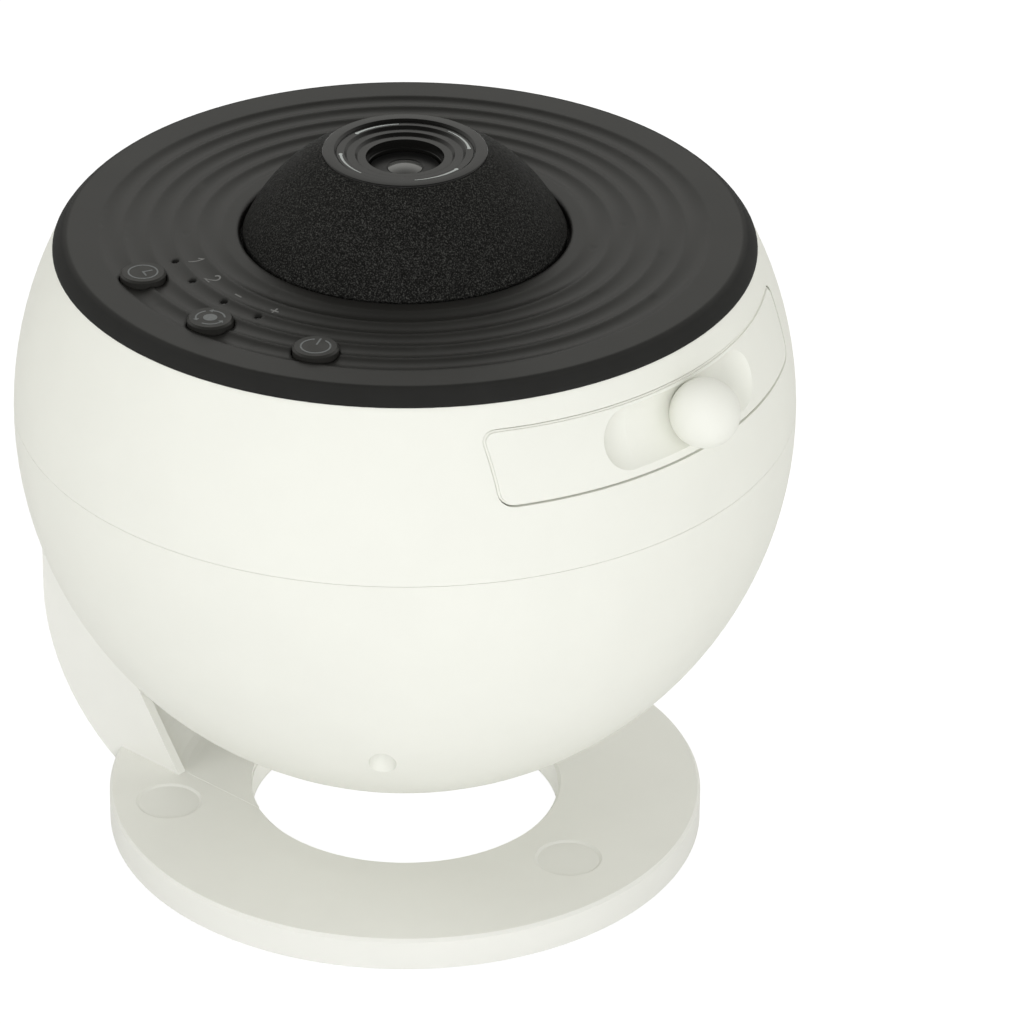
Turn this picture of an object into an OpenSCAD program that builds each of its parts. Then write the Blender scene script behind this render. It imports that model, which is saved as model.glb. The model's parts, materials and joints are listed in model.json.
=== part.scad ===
// Round star projector: a ball-shaped body that tilts on one arm over a ring base.
// Millimetres, +Z up. Origin: middle of the stand, on the surface the foot pads rest on.
// The lens looks up, the buttons face -Y, the disc drawer opens to +X, the arm stands at -X.

/* [Body] */
// Radius of the ball-shaped body
body_r = 80; // [79:0.5:81]
// Wall thickness of the two body shells
shell_t = 2.4; // [2.2:0.1:2.6]
// Height of the body's centre and of the tilt axis
body_z = 98.3; // [97.5:0.1:99.5]
// Number of radial air slots in the bottom
vent_count = 20; // [12:1:24]

/* [Stand] */
// Outer radius of the ring base
ring_r = 62.5; // [62:0.1:63]
// Radius of the hole in the ring base
ring_hole_r = 32.4; // [30:0.1:33]
// Thickness of the ring base
ring_t = 7; // [6.8:0.1:7.5]
// Radius of the rubber foot pads
pad_r = 7; // [6:0.5:7.5]
// How far the foot pads stand proud of the ring
pad_proud = 0.8; // [0.6:0.1:1]
// Half the width of the arm at its foot
arm_half_w = 31; // [30:0.5:32]
// Radius of the arm's round upper end
arm_end_r = 22; // [21:0.5:23]
// Wall thickness of the arm
arm_wall = 2; // [1.8:0.1:2.2]

/* [Tilt joint] */
// Radius of the hollow tilt shaft
shaft_r = 7; // [6.5:0.1:7.5]
// Radial running clearance of turning and sliding fits
run_gap = 0.05; // [0.02:0.01:0.08]

/* [Top plate] */
// Radius of the hole that the focus dome stands in
dome_hole_r = 33.5; // [33.4:0.1:34]
// Number of ring-shaped ripples
ripple_count = 5; // [3:1:5]
// Spacing of the ripples
ripple_pitch = 5; // [4.6:0.1:5]
// Depth of the ripples
ripple_depth = 0.5; // [0.3:0.05:0.5]

/* [Buttons] */
// Radius of a round button
button_r = 4.6; // [4.2:0.1:4.8]
// Distance of the buttons from the middle
button_place_r = 56.5; // [55.5:0.5:57]
// Angle between neighbouring buttons
button_step = 24.6; // [22:0.2:26]
// Travel of a button
button_travel = 0.8; // [0.5:0.1:0.8]

/* [Focus dome] */
// Radius of the dome's foot
dome_r = 33; // [32.8:0.1:33.1]
// Outer radius of the lens bezel
bezel_r = 15.8; // [15.6:0.1:16]
// How far the dome's flank bulges from a straight cone
dome_bulge = 2; // [1.5:0.1:2.5]

/* [Disc drawer] */
// Half the width of the drawer front
drawer_half_w = 43.2; // [43:0.1:43.5]
// Height of the drawer front
drawer_h = 14.4; // [14:0.1:14.6]
// Radius of the ball knob
knob_r = 7; // [6.5:0.1:7.2]
// Half the angle that the finger scoop sweeps round the body
scoop_half_a = 12.1; // [11:0.1:13]

/* [Picture disc] */
// Teeth on the picture disc
disc_teeth = 102; // [102:1:102]
// Teeth on the drive pinion
pinion_teeth = 12; // [12:1:12]
// Tooth size: pitch diameter divided by teeth
gear_module = 0.7; // [0.68:0.01:0.7]
// Radius of the picture film
film_r = 14; // [13:0.1:14]

/* [Hidden] */
$fn = 72;
eps = 0.01;

// Stand
ring_z = pad_proud;
ring_top = ring_z + ring_t;
ring_edge = 0.6;
skin_t = 2.2;
cavity_r0 = ring_hole_r + 2.2;
cavity_r1 = ring_r - 2.2;
solid_angle = 80;
bottom_plate_t = 2.4;
pad_places = [[46, 0], [-30.8, -39.9], [-30.8, 39.9]];
foot_skin = 1.2;

// The arm's back follows one arc about the vertical axis, then a cylinder
back_arc_r = 41;
back_r = body_r + 2.3;
back_arc_c = [back_r - back_arc_r, ring_top + 30.8];
arm_waist_z = 51;
arm_top_z = body_z + arm_end_r;

// Tilt joint, stations along X
facet_x = -74;
pad_face_x = -83.2;
cap_tip_x = -86.4;
head_x = -82;
head_seat_x = -79.4;
boss_face_x = -75.4;
bush_out_x = -74.85;
bush_in_x = -66.7;
shoulder_x = -66.65;
washer_x = -65.4;
wave_x = -64.2;
nut_x = -60.2;
shaft_end_x = -58.6;
neck_r = 5;
bush_r = 10.9;
bush_flange_r = 14.5;

// Body shells, parted a little above the ball's middle
seam_z = body_z + 2.2;
seam_gap = 0.04;
lip_h = 2;
plate_z = 135.1;
flange_t = 2.4;
shell_screw_places = [[40.1, -50.4], [40.1, 50.4], [-40.1, -50.4], [-40.1, 50.4]];
shell_seat_z = 84;
shell_screw_tip_z = 105.5;
upper_post_z = 107.2;
post_places = [[31, -53.7], [31, 53.7], [-31, -53.7], [-31, 53.7]];
bottom_z = 20;

// Top plate
plate_r = 71.2;
plate_top = 138.4;
plate_under = 136;
crease_r = 68.5;
bevel_bulge = 0.2;
first_crest_r = 36.8;
ripple_r = (pow(ripple_pitch / 2 - 0.1, 2) + ripple_depth * ripple_depth) / (2 * ripple_depth);
button_flange_r = 5.8;
button_angles = [-90 - button_step, -90, -90 + button_step];
guide_angles = [-119.9, -108.7, -95.4, -84.3];
guide_place_r = 48.1;
plate_screw_r = 66;
retainer_screw_r = 38.2;
retainer_z = 132.4;
guide_screw_r = 44;

// Focus dome and lens
dome_foot_z = 138.2;
dome_top_z = 155.4;
bezel_top = 155.8;
sleeve_r = 13.75;
barrel_r = 12.5;
barrel_z0 = 124.7;
barrel_z1 = 148.1;
lens_r = 10.2;
lens_edge = 1.2;
lens_ring_h = 2.4;
stop_r = 8.6;
front_lens_z = 144.4;
front_lens_rise = 3.6;
bezel_under = 150.6;
rear_lens_z = 133;
guide_z0 = 124;
guide_z1 = 131;
guide_arm_z = 128.2;
key_w = 3;

// Drawer
drawer_z = 115.8;
drawer_gap = 0.3;
corner_r = 2.5;
drawer_edge = 0.3;
scoop_tilt = 18.4;
scoop_r = 8.94;
scoop_place_r = 86.15;
knob_place_r = 83.8;
knob_gap = 0.03;
knob_boss_r = 5;
knob_boss_in = 72.4;
tray_screw_x = 62;
tray_screw_y = 33;
tray_z = 116;
tray_t = 2;
runner_y0 = 38.6;
runner_y1 = 42;
runner_top = 121;
chassis_z = 107.5;
chassis_top = 110;

// Picture disc and its drive
disc_pitch_r = disc_teeth * gear_module / 2;
pinion_pitch_r = pinion_teeth * gear_module / 2;
disc_z = 118.3;
disc_t = 1.6;
hub_r = 16;
pinion_x = -(disc_pitch_r + pinion_pitch_r + 0.1);
motor_x = pinion_x + 7.5;
motor_r = 12;
motor_screw_places = [[motor_x, 8.5], [motor_x, -8.5]];
tube_screw_places = [for (a = [0, 120, 240]) [21.5 * cos(a), 21.5 * sin(a)]];
rail_screw_places = [[45, 41.5], [45, -41.5], [-45, 41.5], [-45, -41.5]];

// Light source
lamp_z = 82.6;
tube_r = 18.5;
lamp_screw_x = 20.2;
condenser_r = 16.4;
condenser_edge = 1.5;
condenser_spacer_h = 7.6;
condenser_z = [89.2, 98.3];

// Boards and power inlet
board_z = 129.6;
board_t = 1.6;
board_screw_places = [for (a = [-102.5, -77.5]) [59 * cos(a), 59 * sin(a)]];
driver_z = 40;
driver_screw_places = [[14, 11], [14, -11], [-14, 11], [-14, -11]];
inlet_z = 52;
inlet_y = 60.9;
inlet_board_top = inlet_z - 1.7;
inlet_screw_places = [[6.5, 54], [-6.5, 54]];

// ---- helpers ----

// Points of an arc, from one angle to another
function arc(c, r, a0, a1, n = 12) =
    [for (i = [0:n]) let (a = a0 + (a1 - a0) * i / n) [c.x + r * cos(a), c.y + r * sin(a)]];

// A rectangle with round corners, about the origin
function rounded(w, h, r, n = 5) = concat(
    arc([w / 2 - r, h / 2 - r], r, 0, 90, n), arc([r - w / 2, h / 2 - r], r, 90, 180, n),
    arc([r - w / 2, r - h / 2], r, 180, 270, n), arc([w / 2 - r, r - h / 2], r, 270, 360, n));

// A disc, or a tube where hole is not 0, between two heights
module tube(r, hole, z0, z1) {
    difference() {
        translate([0, 0, z0]) cylinder(r = r, h = z1 - z0);
        if (hole > 0) translate([0, 0, z0 - 1]) cylinder(r = hole, h = z1 - z0 + 2);
    }
}

// An upright rod at a place
module rod(p, r, z0, z1) {
    translate([p.x, p.y, z0]) cylinder(r = r, h = z1 - z0);
}

// A rod along X on the tilt axis, or beside it
module rod_x(r, x0, x1, y = 0, z = body_z) {
    translate([x0, y, z]) rotate([0, 90, 0]) cylinder(r = r, h = x1 - x0);
}

module block(x, y, z) {
    translate([x[0], y[0], z[0]]) cube([x[1] - x[0], y[1] - y[0], z[1] - z[0]]);
}

module ball(r) {
    translate([0, 0, body_z]) sphere(r = r);
}

// Upright pan-head screw; the head sits below its seat when it points up
module screw_up(p, head_r, head_h, seat_z, r, tip_z) {
    rod(p, head_r, seat_z - head_h, seat_z);
    rod(p, r, seat_z - eps, tip_z);
}

module screw_down(p, head_r, head_h, seat_z, r, tip_z) {
    rod(p, head_r, seat_z, seat_z + head_h);
    rod(p, r, tip_z, seat_z + eps);
}

function polar(r, a) = [r * cos(a), r * sin(a)];

// Points from one place to another, pushed out to the right of a straight line
function bowed(p0, p1, bulge, n) =
    let (d = p1 - p0, u = [d.y, -d.x] / norm(d))
    [for (i = [0:n]) p0 + d * i / n + 4 * bulge * i / n * (1 - i / n) * u];

// ---- stand ----

module base_ring() {
    rim = [[cavity_r1 - 5, ring_z], [ring_r, ring_z], [ring_r, ring_top - ring_edge],
        [ring_r - ring_edge, ring_top], [ring_hole_r + ring_edge, ring_top],
        [ring_hole_r, ring_top - ring_edge], [ring_hole_r, ring_z]];
    flare_a0 = asin((3.4 - back_arc_c.y) / back_arc_r);
    flare_a1 = asin((ring_top - back_arc_c.y) / back_arc_r);
    flare = concat([[ring_r - 2, ring_top], [ring_r - 2, 3.4]],
        arc(back_arc_c, back_arc_r, flare_a0, flare_a1, 4));
    color("whitesmoke")
        difference() {
            union() {
                rotate_extrude() polygon(rim);
                intersection() {
                    rotate_extrude() polygon(flare);
                    block([-90, -30], [-arm_half_w, arm_half_w], [0, 20]);
                }
            }
            // hollow for the weight, closed from below
            difference() {
                rotate([0, 0, solid_angle / 2 - 180])
                    rotate_extrude(angle = 360 - solid_angle)
                        translate([cavity_r0, ring_z - 1])
                            square([cavity_r1 - cavity_r0, ring_t - skin_t + 1]);
                for (p = pad_places) rod(p, 4.5, ring_z + bottom_plate_t, ring_top);
            }
            for (p = pad_places) {
                rod(p, 1.3, 0, ring_top - 1.2);
                rod(p, pad_r, ring_top - 0.4, ring_top + 1);
            }
            // pocket for the foot of the arm's cover
            intersection() {
                block([-60, 0], [1.8 - arm_half_w, arm_half_w - 1.8], [ring_top - foot_skin, 20]);
                rod([0, 0], 51.9, 0, 20);
            }
            for (p = arm_screw_places()) rod(p, 1.5, 2, 20);
        }
}

function arm_screw_places() = [[-59, -8], [-59, 8], [-56, -22], [-56, 22]];

module base_weight() {
    z0 = ring_z + bottom_plate_t;
    color("slategray")
        difference() {
            rotate([0, 0, solid_angle / 2 - 179])
                rotate_extrude(angle = 358 - solid_angle)
                    translate([cavity_r0 + 0.3, z0])
                        square([cavity_r1 - cavity_r0 - 0.6, ring_top - skin_t - z0]);
            for (p = pad_places) rod(p, 4.9, 0, 20);
        }
}

module base_bottom_plate() {
    color("gainsboro")
        difference() {
            rotate([0, 0, solid_angle / 2 - 179.8])
                rotate_extrude(angle = 359.6 - solid_angle)
                    translate([cavity_r0 + 0.15, ring_z])
                        square([cavity_r1 - cavity_r0 - 0.3, bottom_plate_t]);
            for (p = pad_places) {
                rod(p, pad_r + 0.1, 0, ring_z + 0.8);
                rod(p, 1.6, 0, 20);
                translate([p.x, p.y, ring_z + 0.8]) cylinder(r1 = 2.9, r2 = 1.6, h = 1.3);
            }
        }
}

module base_screws() {
    color("silver")
        for (p = pad_places) {
            translate([p.x, p.y, ring_z + 0.85]) cylinder(r1 = 2.75, r2 = 1.25, h = 1.4);
            rod(p, 1.25, ring_z + 1.5, ring_top - 1.4);
        }
}

module foot_pads() {
    color("dimgray")
        for (p = pad_places)
            translate([p.x, p.y, 0])
                rotate_extrude()
                    polygon([[0, 0], [pad_r - 0.4, 0], [pad_r, 0.4], [pad_r, ring_z + 0.8],
                        [0, ring_z + 0.8]]);
}

// Front view of the arm: straight sides, then a taper onto the round end
module arm_outline(inset, z0) {
    w = arm_half_w - inset;
    r = arm_end_r - inset;
    d = [w, arm_waist_z - body_z];
    a = atan2(d.y, d.x) + acos(r / norm(d));
    points = concat([[-w, z0], [w, z0], [w, arm_waist_z]],
        arc([0, body_z], r, a, 180 - a, 20), [[-w, arm_waist_z]]);
    translate([-95, 0, 0]) rotate([90, 0, 90]) linear_extrude(height = 95) polygon(points);
}

// Everything inside the arm's back surface, a surface of revolution about the vertical axis
module arm_back(inset, z0) {
    a0 = asin((z0 - back_arc_c.y) / back_arc_r);
    rotate_extrude()
        polygon(concat([[0, z0]], [for (p = arc(back_arc_c, back_arc_r, a0, 0, 10)) [p.x - inset, p.y]],
            [[back_r - inset, arm_top_z + 5], [0, arm_top_z + 5]]));
}

// Side view of the arm: its front edge leaves the ring, passes the body and ends upright
function arm_front_edge() =
    [[-36.6, ring_top], [-67, arm_waist_z], [-70.5, 60], [-73.5, 70], [boss_face_x, 80]];

module arm_side(shift, z0) {
    points = concat([[-95, z0], [arm_front_edge()[0].x - shift, z0]],
        [for (p = arm_front_edge()) [p.x - shift, p.y]],
        [[boss_face_x - shift, arm_top_z + 5], [-95, arm_top_z + 5]]);
    translate([0, 40, 0]) rotate([90, 0, 0]) linear_extrude(height = 80) polygon(points);
}

module arm_form() {
    intersection() {
        arm_back(0, ring_top);
        arm_outline(0, ring_top);
        arm_side(0, ring_top);
    }
}

function cover_screw_places() = [[-14, 84], [14, 84]];

module stand_arm() {
    floor_t = 2.5;
    color("whitesmoke")
        difference() {
            union() {
                difference() {
                    arm_form();
                    intersection() {
                        arm_back(2.2, ring_top);
                        arm_outline(arm_wall, ring_top + floor_t);
                    }
                    intersection() {
                        block([-60, 0], [arm_wall - arm_half_w, arm_half_w - arm_wall],
                            [0, ring_top + floor_t + 1]);
                        rod([0, 0], 56.5, 0, 20);
                    }
                }
                rod_x(15, -80, boss_face_x);
                rod_x(14.6, pad_face_x, -79);
                for (p = cover_screw_places()) rod_x(3.1, -80, -78.35, p.x, p.y);
            }
            rod_x(12.2, pad_face_x - 1, head_seat_x);
            rod_x(shaft_r + run_gap, -90, -70);
            for (p = cover_screw_places()) rod_x(1.1, -79.4, -70, p.x, p.y);
            for (p = arm_screw_places()) rod(p, 1.6, 0, 20);
        }
}

// The space in front of the arm's inner face: a bowl about the vertical axis that leaves
// the ring in a fillet, and above it the side view's line, set back between the side walls
module cover_front() {
    bowl = concat([[0, ring_top]], arc([45, ring_top + 10], 10, -90, -31, 6),
        [[76.5, 50.8], [76.5, 62], [0, 62]]);
    rotate_extrude() polygon(bowl);
    translate([0, 40, 0])
        rotate([90, 0, 0])
            linear_extrude(height = 80)
                polygon([[-69, arm_waist_z], [-72.5, 60], [-75.5, 70], [-76.6, 78], [-76.6, 130], [-20, 130],
                    [-20, arm_waist_z]]);
}

module arm_cover() {
    color("gainsboro")
        difference() {
            intersection() {
                difference() {
                    translate([-1.7, 0, -foot_skin]) cover_front();
                    cover_front();
                }
                arm_outline(arm_wall + 0.1, ring_top - foot_skin - 1);
                translate([0, 0, -8]) arm_back(2.4, ring_top);
            }
            rod([0, 0], ring_hole_r + 0.2, 0, 20);
            rod_x(15.1, -90, -60);
            for (p = cover_screw_places()) rod_x(1.3, -90, -60, p.x, p.y);
        }
}

module arm_screws() {
    color("silver")
        for (p = arm_screw_places()) screw_down(p, 2.7, 1.8, ring_top + 2.5, 1.45, 2.5);
}

module cover_screws() {
    color("silver")
        for (p = cover_screw_places()) {
            rod_x(2.2, -76.6, -75.5, p.x, p.y);
            rod_x(1.05, -79.2, -76.5, p.x, p.y);
        }
}

// ---- tilt joint ----

module pivot_shaft() {
    color("silver")
        difference() {
            union() {
                intersection() {
                    rod_x(12, head_x, head_seat_x);
                    block([-90, -70], [-20, 20], [body_z - 10, body_z + 10]);
                }
                rod_x(shaft_r, head_seat_x - eps, shoulder_x);
                rod_x(neck_r, shoulder_x - eps, shaft_end_x);
            }
            rod_x(3, -90, -50);
        }
}

module ring_x(r, hole, x0, x1) {
    difference() {
        rod_x(r, x0, x1);
        rod_x(hole, x0 - 1, x1 + 1);
    }
}

module friction_washer() {
    color("black") ring_x(14, shaft_r + 0.1, boss_face_x, bush_out_x - 0.05);
}

module wave_washer() {
    color("silver") {
        ring_x(10.5, neck_r + 0.1, shoulder_x, washer_x);
        ring_x(8.5, neck_r + 0.1, washer_x, wave_x);
    }
}

module pivot_nut() {
    color("silver")
        difference() {
            translate([wave_x, 0, body_z]) rotate([0, 90, 0]) cylinder(r = 9, h = nut_x - wave_x, $fn = 6);
            rod_x(neck_r + 0.02, -90, -50);
        }
}

module pivot_cap() {
    cap_r = 14;
    rise = pad_face_x - cap_tip_x;
    color("whitesmoke")
        union() {
            rod_x(12.1, pad_face_x - eps, head_x);
            translate([pad_face_x, 0, body_z])
                rotate([0, -90, 0])
                    rotate_extrude()
                        polygon(concat([[0, 0], [cap_r, 0], [cap_r, 1]],
                            [for (i = [1:8]) [cap_r * cos(11 * i), 1 + (rise - 1) * sin(90 * i / 8)]],
                            [[0, rise]]));
        }
}

// ---- body ----

// The ball's wall; its arm side is cut flat for the tilt joint
module ball_wall() {
    difference() {
        intersection() {
            ball(body_r);
            block([facet_x, 90], [-90, 90], [0, 200]);
        }
        intersection() {
            ball(body_r - shell_t);
            block([facet_x + shell_t, 90], [-90, 90], [0, 200]);
        }
    }
}

// Screw post with a rib that ties it to the wall
module ribbed_post(p, z0, z1) {
    a = atan2(p.y, p.x);
    intersection() {
        union() {
            rod(p, 4.2, z0, z1);
            rotate([0, 0, a]) block([norm(p), 79], [-0.9, 0.9], [max(z0, z1 - 24), z1]);
        }
        ball(body_r - 1.2);
    }
}

// The space that the tilt bush fills in the two shells
module bush_seat() {
    rod_x(bush_r + 0.05, -90, -60);
}

// Outline of the drawer front and of its opening, pushed through the +X wall
module drawer_prism(grow) {
    w = 2 * (drawer_half_w + grow);
    translate([50, 0, drawer_z + drawer_h / 2])
        rotate([90, 0, 90])
            linear_extrude(height = 40)
                polygon(rounded(w, drawer_h + 2 * grow, corner_r + grow));
}

module slot(a, r0, r1, w) {
    points = concat(arc([r0, 0], w / 2, 90, 270, 4), arc([r1, 0], w / 2, -90, 90, 4));
    rotate([0, 0, a]) translate([0, 0, bottom_z - 5]) linear_extrude(height = 30) polygon(points);
}

module lower_shell() {
    lip = [[75.2, seam_z - 4], [78.7, seam_z - 4], [78.7, seam_z - seam_gap], [77.3, seam_z - seam_gap],
        [77.3, seam_z + lip_h], [75.2, seam_z + lip_h]];
    color("whitesmoke")
        difference() {
            union() {
                intersection() {
                    ball_wall();
                    block([-90, 90], [-90, 90], [bottom_z, seam_z - seam_gap]);
                }
                rod([0, 0], 21, bottom_z, bottom_z + 2.6);
                difference() {
                    rotate_extrude() polygon(lip);
                    block([-90, -60], [-31.5, 31.5], [80, 110]);
                }
                for (p = shell_screw_places) ribbed_post(p, 40, seam_z - seam_gap);
                for (p = driver_screw_places) rod(p, 2.6, bottom_z + 1, driver_z);
                intersection() {
                    block([-9, 9], [inlet_y - 2.2, 70], [inlet_z - 6, inlet_z + 6]);
                    ball(body_r - 1);
                }
                intersection() {
                    for (p = inlet_screw_places) rod(p, 2, 40, inlet_board_top - 1.2);
                    ball(body_r - 1);
                }
            }
            for (p = shell_screw_places) {
                rod(p, 2.8, 30, shell_seat_z);
                rod(p, 1.6, 30, 110);
            }
            for (i = [0:vent_count - 1]) slot(360 / vent_count * (i + 0.5), 27, 38.5, 2.4);
            for (p = driver_screw_places) rod(p, 0.9, 34, 45);
            for (p = inlet_screw_places) rod(p, 0.7, inlet_z - 7, inlet_z);
            bush_seat();
            // recess and slot for the power plug
            translate([0, 80, inlet_z])
                rotate([90, 0, 0])
                    linear_extrude(height = 80 - inlet_y) polygon(rounded(13, 7.6, 2.4));
            translate([0, 80, inlet_z])
                rotate([90, 0, 0])
                    linear_extrude(height = 24) polygon(rounded(9.3, 3.7, 1.6));
        }
}

module upper_shell() {
    flange = [[62.5, plate_z - flange_t], [70.5, plate_z - flange_t], [69, plate_z], [62.5, plate_z]];
    color("whitesmoke")
        difference() {
            union() {
                intersection() {
                    ball_wall();
                    block([-90, 90], [-90, 90], [seam_z + seam_gap, plate_z]);
                }
                rotate_extrude() polygon(flange);
                for (p = shell_screw_places) ribbed_post(p, seam_z + seam_gap, upper_post_z);
                for (p = post_places)
                    intersection() {
                        rod(p, 4, chassis_top, plate_z - flange_t + 0.2);
                        ball(body_r - 1);
                    }
            }
            // groove in the ribs for the lower shell's lip
            difference() {
                tube(77.4, 75.1, seam_z, seam_z + lip_h + 0.1);
                block([-90, -60], [-31.5, 31.5], [80, 110]);
            }
            bush_seat();
            drawer_prism(drawer_gap);
            for (p = shell_screw_places) rod(p, 1.3, 90, shell_screw_tip_z + 0.6);
            for (p = post_places) rod(p, 1.1, 100, chassis_top + 8);
            for (i = [0:3]) rod(polar(plate_screw_r, 45 + 90 * i), 1.4, 120, 140);
        }
}

module shell_screws() {
    color("silver")
        for (p = shell_screw_places) screw_up(p, 2.6, 2, shell_seat_z, 1.25, shell_screw_tip_z);
}

module pivot_bush() {
    color("ivory")
        difference() {
            union() {
                rod_x(bush_r, bush_out_x, bush_in_x);
                rod_x(bush_flange_r, bush_out_x, facet_x - 0.02);
                rod_x(bush_flange_r, facet_x + shell_t + 0.02, facet_x + shell_t + 1.8);
            }
            rod_x(shaft_r + run_gap, -90, -60);
        }
}

module top_plate() {
    bevel = bowed([plate_r, plate_z + 0.2], [crease_r, plate_top], bevel_bulge, 8);
    section = concat([[61, plate_z - 2], [62.3, plate_z - 2], [62.3, plate_z], [plate_r, plate_z]], bevel,
        [[dome_hole_r + 0.4, plate_top], [dome_hole_r, plate_top - 0.4], [dome_hole_r, plate_under],
        [61, plate_under]]);
    color("dimgray")
        difference() {
            union() {
                rotate_extrude() polygon(section);
                for (p = board_screw_places) rod(p, 2.4, board_z + board_t, plate_under + 1);
            }
            for (i = [0:ripple_count - 1])
                rotate_extrude()
                    translate([first_crest_r + (i + 0.5) * ripple_pitch, plate_top + ripple_r - ripple_depth])
                        circle(r = ripple_r);
            for (a = button_angles) {
                rod(polar(button_place_r, a), button_r + 0.25, 120, 150);
                rod(polar(button_place_r, a), button_flange_r + 0.3, 120, plate_under);
            }
            for (a = guide_angles) rod(polar(guide_place_r, a), 0.75, 120, 150);
            for (i = [0:3]) rod(polar(plate_screw_r, 45 + 90 * i), 1.15, 120, plate_z + 2.4);
            for (i = [0:2]) rod(polar(retainer_screw_r, 30 + 120 * i), 1.05, 120, plate_under + 1.5);
            for (i = [0:3]) rod(polar(guide_screw_r, 45 + 90 * i), 1.05, 120, plate_under + 1.4);
            for (p = board_screw_places) rod(p, 0.95, 120, plate_under + 1.4);
        }
}

module plate_screws() {
    color("silver")
        for (i = [0:3])
            screw_up(polar(plate_screw_r, 45 + 90 * i), 2.3, 1.6, plate_z - flange_t, 1.1, plate_z + 2.2);
}

module dome_retainer() {
    section = [[34, retainer_z], [40, retainer_z], [40, plate_under], [36.6, plate_under],
        [36.6, retainer_z + 1.5], [34, retainer_z + 1.5]];
    color("dimgray")
        difference() {
            rotate_extrude() polygon(section);
            for (i = [0:2]) rod(polar(retainer_screw_r, 30 + 120 * i), 1.2, 120, 140);
        }
}

// Three short ones hold the dome's retainer, four longer ones the lens guide
module retainer_screws() {
    color("silver") {
        for (i = [0:2])
            screw_up(polar(retainer_screw_r, 30 + 120 * i), 2, 1.4, retainer_z, 1, plate_under + 1.3);
        for (i = [0:3])
            screw_up(polar(guide_screw_r, 45 + 90 * i), 2, 1.4, guide_arm_z, 1, plate_under + 1.2);
    }
}

module chassis() {
    color("dimgray")
        difference() {
            rod([0, 0], 68, chassis_z, chassis_top);
            rod([0, 0], 15.2, 100, 120);
            block([-80, -54], [-16, 16], [100, 120]);
            rod([pinion_x, 0], 3.2, 100, 120);
            for (p = post_places) rod(p, 1.4, 100, 120);
            for (p = concat(tube_screw_places, motor_screw_places, rail_screw_places)) rod(p, 1.1, 100, 120);
            for (x = [-8, 8], y = [-50, 50]) rod([x, y], 4, 100, 120);
        }
}

// Up into the shell's posts and the rails, down into the lamp tube and the motor
module chassis_screws() {
    color("silver") {
        for (p = post_places) screw_up(p, 2.6, 1.8, chassis_z, 1.05, chassis_top + 7);
        for (p = rail_screw_places) screw_up(p, 2, 1.4, chassis_z, 1, chassis_top + 3.8);
        for (p = concat(tube_screw_places, motor_screw_places))
            screw_down(p, 2, 1.4, chassis_top, 1, chassis_z - 2.1);
    }
}

// Two channels that the drawer's runners slide in
module drawer_rails() {
    color("ivory")
        for (s = [-1, 1])
            difference() {
                translate([-57, 0, 0])
                    rotate([90, 0, 90])
                        linear_extrude(height = 112)
                            polygon([for (p = [[38, chassis_top], [45, chassis_top], [45, 123],
                                [40, 123], [40, runner_top + 0.2], [runner_y1 + 0.3, runner_top + 0.2],
                                [runner_y1 + 0.3, tray_z - 0.1], [38, tray_z - 0.1]]) [s * p[0], p[1]]]);
                for (p = rail_screw_places) rod(p, 1.05, 100, chassis_top + 4);
            }
}

// Hub under the dome that keeps the lens barrel from turning
module lens_guide() {
    color("dimgray")
        difference() {
            union() {
                rod([0, 0], 16.5, guide_z0, guide_z1);
                for (i = [0:3])
                    rotate([0, 0, 45 + 90 * i]) {
                        block([14, 46.5], [-2.2, 2.2], [guide_arm_z, guide_z1]);
                        block([41.5, 46.5], [-2.2, 2.2], [guide_z1 - eps, plate_under]);
                    }
            }
            rod([0, 0], barrel_r + run_gap, 100, 150);
            for (a = [0, 180])
                rotate([0, 0, a]) block([10, 14.2], [-key_w / 2 - 0.1, key_w / 2 + 0.1], [100, 150]);
            for (i = [0:3]) rod(polar(guide_screw_r, 45 + 90 * i), 1.1, 100, 150);
        }
}

module gear_motor() {
    color("silver")
        difference() {
            union() {
                rod([motor_x, 0], motor_r, 89, chassis_z);
                rod([pinion_x, 0], 3, chassis_z - eps, chassis_z + 1.5);
            }
            rod([pinion_x, 0], 1.5 + run_gap, chassis_z - 4, 120);
            for (p = motor_screw_places) rod(p, 1.05, chassis_z - 2.3, 120);
        }
}

module lamp_tube() {
    color("dimgray")
        difference() {
            union() {
                tube(tube_r, 16.5, lamp_z, chassis_z);
                difference() {
                    tube(24, 16.5, chassis_z - 2.2, chassis_z);
                    rod([motor_x, 0], motor_r + 0.3, 90, 120);
                }
                tube(22, 16.5, lamp_z, lamp_z + 3);
                tube(17, 14.6, 88, 89.2);
            }
            for (p = tube_screw_places) rod(p, 1.05, 100, 120);
            for (s = [-1, 1]) rod([s * lamp_screw_x, 0], 1.05, 80, lamp_z + 2.6);
        }
}

// Plano-convex lens, flat side down, with a flat rim outside its clear radius
module lens(r, clear_r, edge, rise, z) {
    cap_r = (clear_r * clear_r + rise * rise) / (2 * rise);
    a = asin(clear_r / cap_r);
    translate([0, 0, z])
        rotate_extrude()
            polygon(concat([[0, 0], [r, 0], [r, edge]],
                [for (i = [8:-1:0]) [cap_r * sin(a * i / 8), edge + rise - cap_r * (1 - cos(a * i / 8))]]));
}

module condenser_lens_lower() {
    color("lightcyan") lens(condenser_r, 14.5, condenser_edge, 5, condenser_z[0]);
}

module condenser_lens_upper() {
    color("lightcyan") lens(condenser_r, 14.5, condenser_edge, 5, condenser_z[1]);
}

module condenser_spacers() {
    color("black")
        for (z = condenser_z)
            tube(condenser_r, 14.8, z + condenser_edge, z + condenser_edge + condenser_spacer_h);
}

module lamp_board() {
    color("white")
        difference() {
            rod([0, 0], 22, lamp_z - 1.6, lamp_z);
            for (s = [-1, 1]) rod([s * lamp_screw_x, 0], 1.1, 70, 90);
        }
}

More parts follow.
